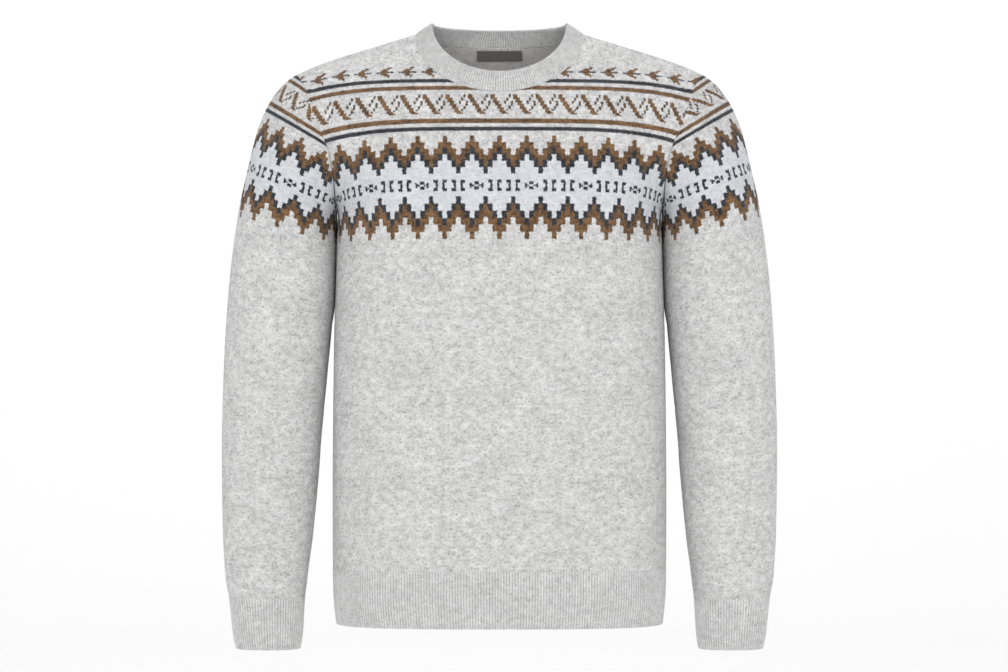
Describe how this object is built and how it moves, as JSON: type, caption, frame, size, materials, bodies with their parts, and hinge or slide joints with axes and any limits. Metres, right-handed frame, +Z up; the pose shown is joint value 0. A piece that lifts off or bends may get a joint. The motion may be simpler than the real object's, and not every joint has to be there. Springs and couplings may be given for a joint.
{
  "type": "fair isle jumper",
  "caption": "Hollow long-sleeved crew-neck knitted jumper in pale marl with brown and navy patterned bands over the yoke and upper sleeves, ribbed neck, hem and cuffs.",
  "frame": {"origin": "where the garment rests on its wearer's shoulders, midway between the two points where the shoulder seams meet the neckband", "axes": "+Z up, -Y is the garment's front, +X is the wearer's left"},
  "size_m": [0.6348, 0.2358, 0.7155],
  "materials": {
    "marl_knit": "brushed woollen jersey, matt, pale grey marl with brown, navy and off-white patterned bands",
    "grey_rib": "fine woollen rib, matt, pale grey marl",
    "label_cloth": "plain woven tape, dark grey"
  },
  "bodies": {
    "root": {"front": "marl_knit", "back": "marl_knit", "sleeve_left": "marl_knit", "sleeve_right": "marl_knit", "neckband": "grey_rib", "hem_rib": "grey_rib", "cuff_left": "grey_rib", "cuff_right": "grey_rib", "neck_label": "label_cloth"}
  },
  "joints": []
}
